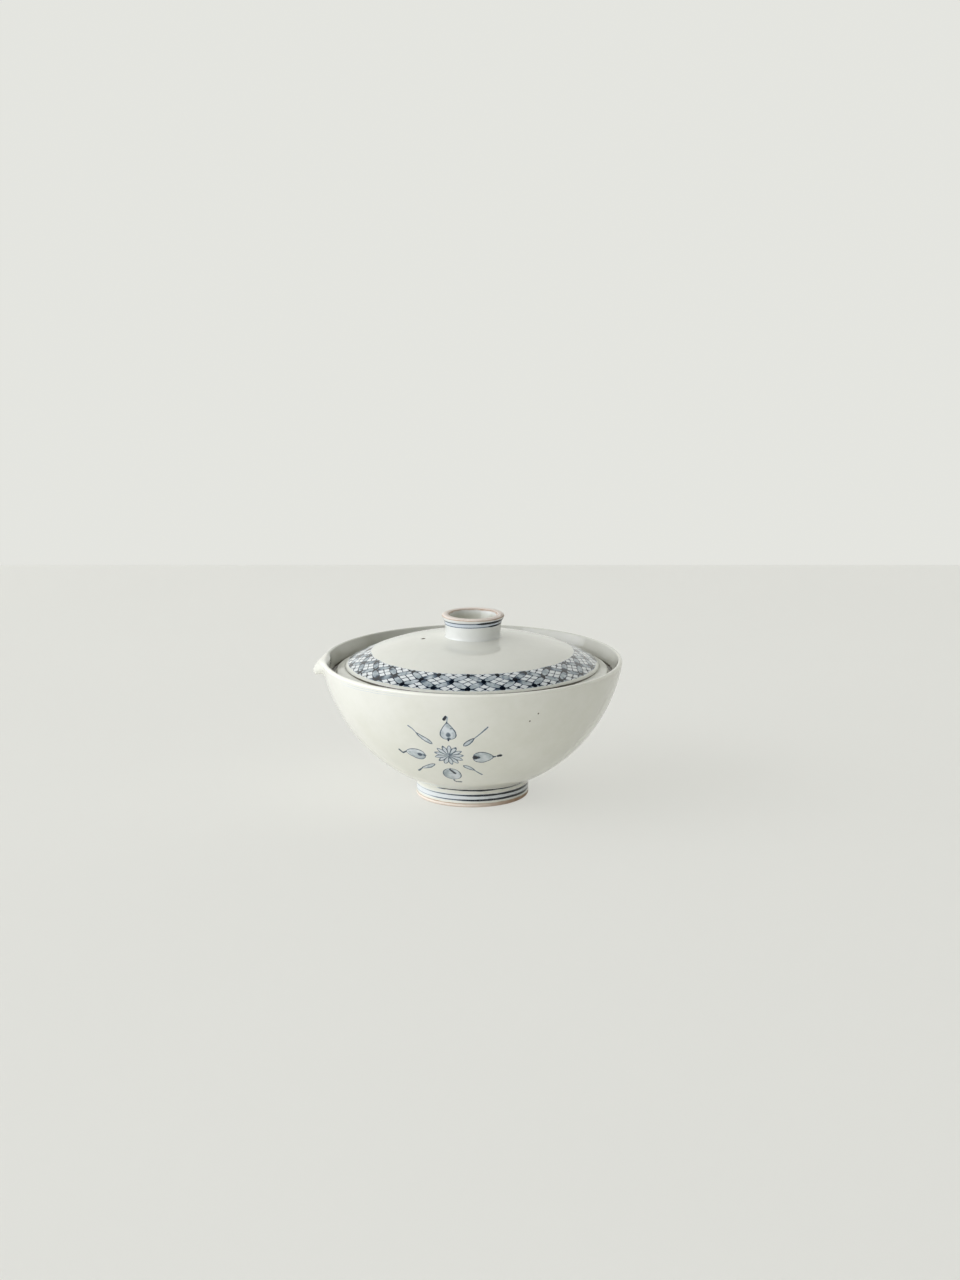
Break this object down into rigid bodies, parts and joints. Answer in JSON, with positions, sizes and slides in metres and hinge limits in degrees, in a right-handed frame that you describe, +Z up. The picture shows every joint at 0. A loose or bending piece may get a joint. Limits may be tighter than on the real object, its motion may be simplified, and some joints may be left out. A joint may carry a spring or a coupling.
{
  "type": "lidded spouted bowl",
  "caption": "Round glazed porcelain pouring bowl on a foot ring, with a small pouring lip and a loose domed lid that rests inside the rim and lifts by a hollow ring knob.",
  "frame": {"origin": "middle of the outline of bowl and lip, on the plane that the foot stands on; the turning axis lies 1.7 mm to +X of it", "axes": "+Z up along the turning axis, -X towards the pouring lip"},
  "size_m": [0.1229, 0.1192, 0.0735],
  "materials": {
    "bowl_glaze": "glossy, faintly greenish white porcelain glaze with a painted blue flower on one side",
    "foot_glaze": "glossy white glaze with blue lines, bare orange-pink clay on the standing edge",
    "lid_glaze": "glossy white glaze with a painted blue net band",
    "knob_glaze": "glossy white glaze with two blue lines, bare brown clay on the lip"
  },
  "bodies": {
    "bowl": {"bowl_body": "bowl_glaze", "foot_ring": "foot_glaze", "pouring_lip": "bowl_glaze"},
    "lid": {"lid_dome": "lid_glaze", "knob_ring": "knob_glaze"}
  },
  "joints": [
    {"name": "lid_lift", "type": "slide", "parent": "bowl", "child": "lid", "axis": [0, 0, 1], "range_m": [0, 0.06]}
  ]
}
